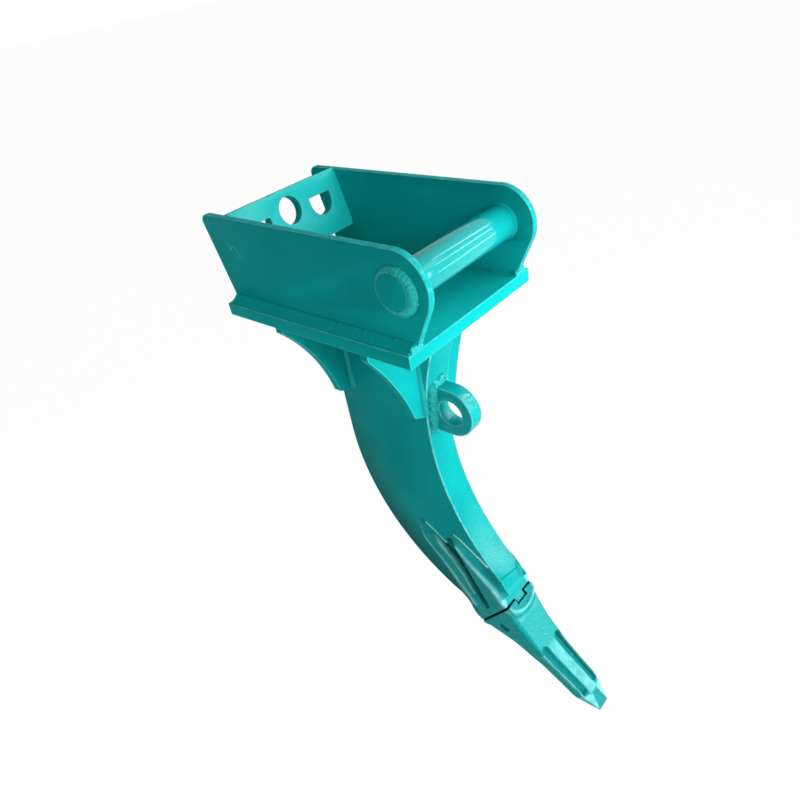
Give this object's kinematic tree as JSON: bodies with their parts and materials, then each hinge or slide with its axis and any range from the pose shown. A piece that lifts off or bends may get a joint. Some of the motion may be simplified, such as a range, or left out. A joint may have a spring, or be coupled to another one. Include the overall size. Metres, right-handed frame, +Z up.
{
  "type": "excavator ripper",
  "caption": "Excavator ripper with a cross-bar hitch headstock, a curved plate shank braced by gussets, and a pinned chisel tooth for breaking hard ground.",
  "frame": {"origin": "middle of the hitch bar, on its axis", "axes": "+X forward, the way the tooth points; +Y along the hitch bar, to the ripper's left; +Z up"},
  "size_m": [0.5987, 0.274, 0.8923],
  "materials": {
    "paint": "gloss turquoise paint",
    "weld": "rippled weld bead under gloss turquoise paint",
    "steel": "dark unpainted steel"
  },
  "bodies": {
    "root": {"side_plate_left": "paint", "side_plate_right": "paint", "hitch_bar": "paint", "lock_plate": "paint", "base_plate": "paint", "shank": "paint", "front_gusset_left": "paint", "front_gusset_right": "paint", "rear_gusset_left": "paint", "rear_gusset_right": "paint", "lifting_eye": "paint", "tooth_adapter": "paint", "tooth_point": "paint", "tooth_pin": "steel", "pin_retainer": "steel", "bar_weld_left": "weld", "bar_weld_right": "weld", "side_weld_left": "weld", "side_weld_right": "weld", "lock_weld_left": "weld", "lock_weld_right": "weld", "shank_weld_left": "weld", "shank_weld_right": "weld", "front_gusset_weld_left": "weld", "front_gusset_weld_right": "weld", "rear_gusset_weld_left": "weld", "rear_gusset_weld_right": "weld", "eye_weld": "weld", "throat_weld": "weld", "inner_weld_left": "weld", "inner_weld_right": "weld"}
  },
  "joints": []
}
